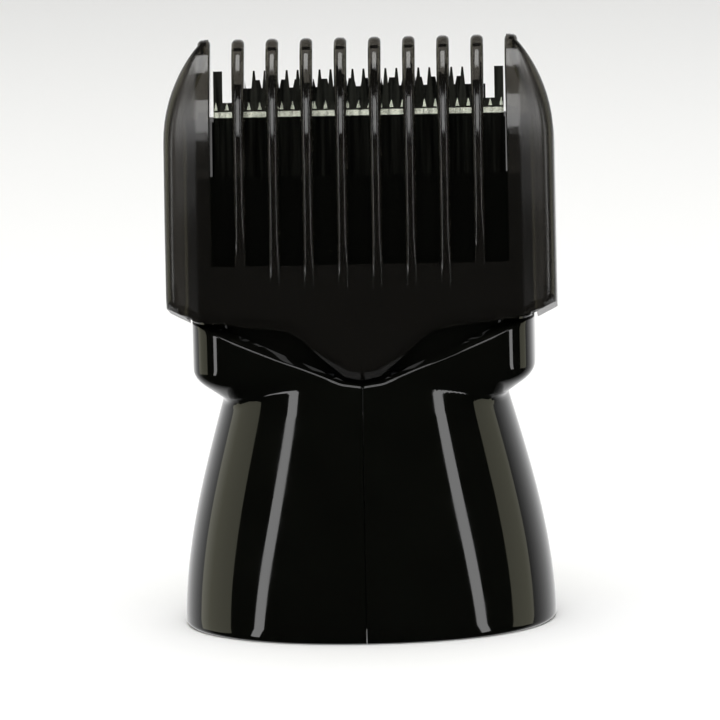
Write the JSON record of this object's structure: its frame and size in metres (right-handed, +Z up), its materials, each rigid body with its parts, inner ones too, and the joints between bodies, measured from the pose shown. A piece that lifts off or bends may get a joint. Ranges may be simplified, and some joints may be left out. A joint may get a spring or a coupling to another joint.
{
  "type": "hair clipper head",
  "caption": "Glossy black hair clipper head with a flared skirt that plugs onto a grooming handle, steel toothed blades and a slide-on smoke-dark guide comb.",
  "frame": {"origin": "centre of the skirt's foot, on the surface that the head stands on", "axes": "+Z up through the nose to the blades, -Y towards the side with the guide comb, +X to the right as seen from that side"},
  "size_m": [0.043, 0.034, 0.0652],
  "materials": {
    "shell": "polished black",
    "comb": "polished smoke-dark clear",
    "inner_plastic": "moulded dark grey",
    "lever": "moulded natural white",
    "driver": "moulded natural cream",
    "boot": "matt",
    "screw": "zinc plated",
    "pin": "ground",
    "spring": "drawn spring wire",
    "bush": "sintered bronze",
    "blade": "ground along the teeth, darkened"
  },
  "bodies": {
    "head": {"shell_left": "shell", "shell_right": "shell", "coupling_ring": "inner_plastic", "chassis": "inner_plastic", "frame_screws": "screw", "lever_boot": "boot", "pivot_pin": "pin", "pivot_clip": "spring", "nose_cover": "shell", "rear_cover": "shell", "rear_cover_screws": "screw", "blade_bed": "inner_plastic", "fixed_blade": "blade", "blade_screws": "screw", "blade_springs": "spring"},
    "lever": {"drive_lever": "lever", "lever_bush": "bush", "drive_pin": "pin"},
    "cutter": {"moving_blade": "blade", "cutter_driver": "driver"},
    "comb": {"guide_comb": "comb"}
  },
  "joints": [
    {"name": "comb_slide", "type": "slide", "parent": "head", "child": "comb", "axis": [0, 0.2079, 0.9781], "range_m": [0, 0.028]},
    {"name": "lever_swing", "type": "hinge", "parent": "head", "child": "lever", "pos_m": [0, 0, 0.0336], "axis": [0, 1, 0], "range_deg": [-3.4, 3.4]},
    {"name": "cutter_slide", "type": "slide", "parent": "head", "child": "cutter", "axis": [1, 0, 0], "range_m": [-0.0012, 0.0012]}
  ],
  "couplings": [
    {"joint": "cutter_slide", "follows": "lever_swing", "m_per_rad": 0.0198}
  ]
}
